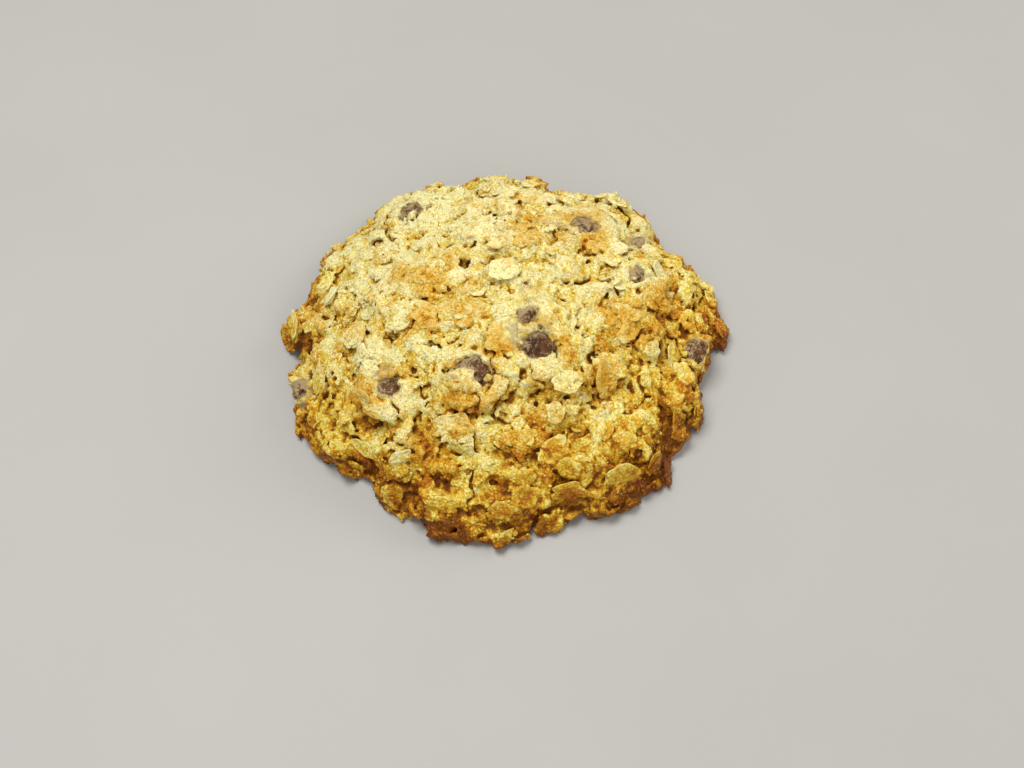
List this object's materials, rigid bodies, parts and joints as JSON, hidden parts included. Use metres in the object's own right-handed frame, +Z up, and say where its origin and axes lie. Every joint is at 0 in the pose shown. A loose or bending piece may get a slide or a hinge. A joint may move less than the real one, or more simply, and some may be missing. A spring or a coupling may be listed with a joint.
{
  "type": "oatmeal chocolate chip cookie",
  "caption": "Home-baked oatmeal chocolate chip cookie: a tall craggy round mound of oats and golden dough with dark chips showing, flat underneath.",
  "frame": {"origin": "the middle of the bounding box, on the flat underside that the cookie rests on", "axes": "+Z is up through the mound and is its shortest side, +X is to the right and +Y is away from the viewer as the cookie was pictured"},
  "size_m": [0.1264, 0.1214, 0.0337],
  "materials": {
    "baked_dough": "matt",
    "chocolate": "satin"
  },
  "bodies": {
    "root": {"cookie_dough": "baked_dough", "chip_centre": "chocolate", "chip_centre_back": "chocolate", "chip_front_left": "chocolate", "chip_left_small": "chocolate", "chip_back_left": "chocolate", "chip_back_right": "chocolate", "chip_right_small": "chocolate", "chip_right_rim": "chocolate", "chip_left_rim": "chocolate", "chip_back_rim": "chocolate"}
  },
  "joints": []
}
